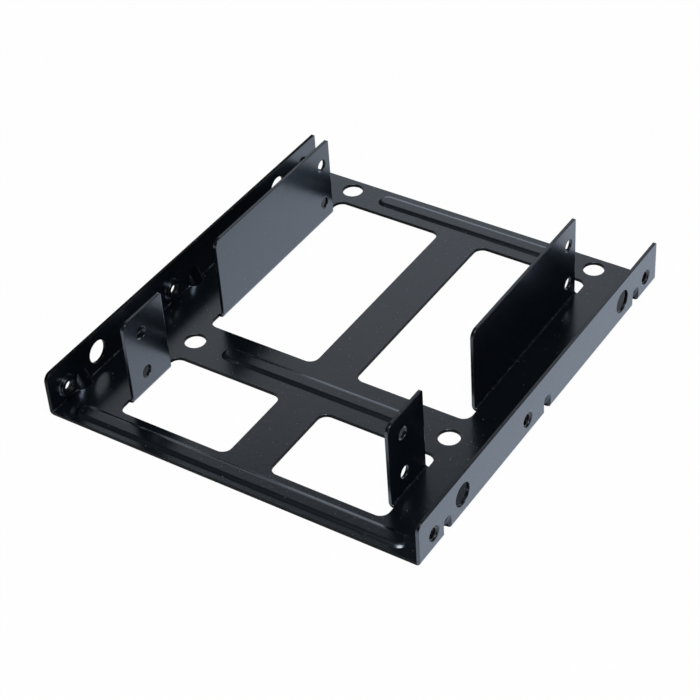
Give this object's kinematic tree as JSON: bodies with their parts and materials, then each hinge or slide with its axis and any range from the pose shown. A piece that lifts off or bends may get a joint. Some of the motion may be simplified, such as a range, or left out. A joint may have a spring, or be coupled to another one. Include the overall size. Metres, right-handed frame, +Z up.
{
  "type": "drive bay adapter bracket",
  "caption": "Open bracket folded from a sheet of black painted steel, with low side walls and upright inner tabs that hold small drives one above the other in a wider bay.",
  "frame": {"origin": "on the underside of the base, at the middle of the bracket's width and length", "axes": "+X to the right wall, +Y along the walls to the rear, where the long tabs end, +Z up from the base to the tabs' upper edges"},
  "size_m": [0.1016, 0.1132, 0.0234],
  "materials": {
    "painted_steel": "semi-gloss black powder coat"
  },
  "bodies": {
    "root": {"drive_bay_bracket": "painted_steel"}
  },
  "joints": []
}
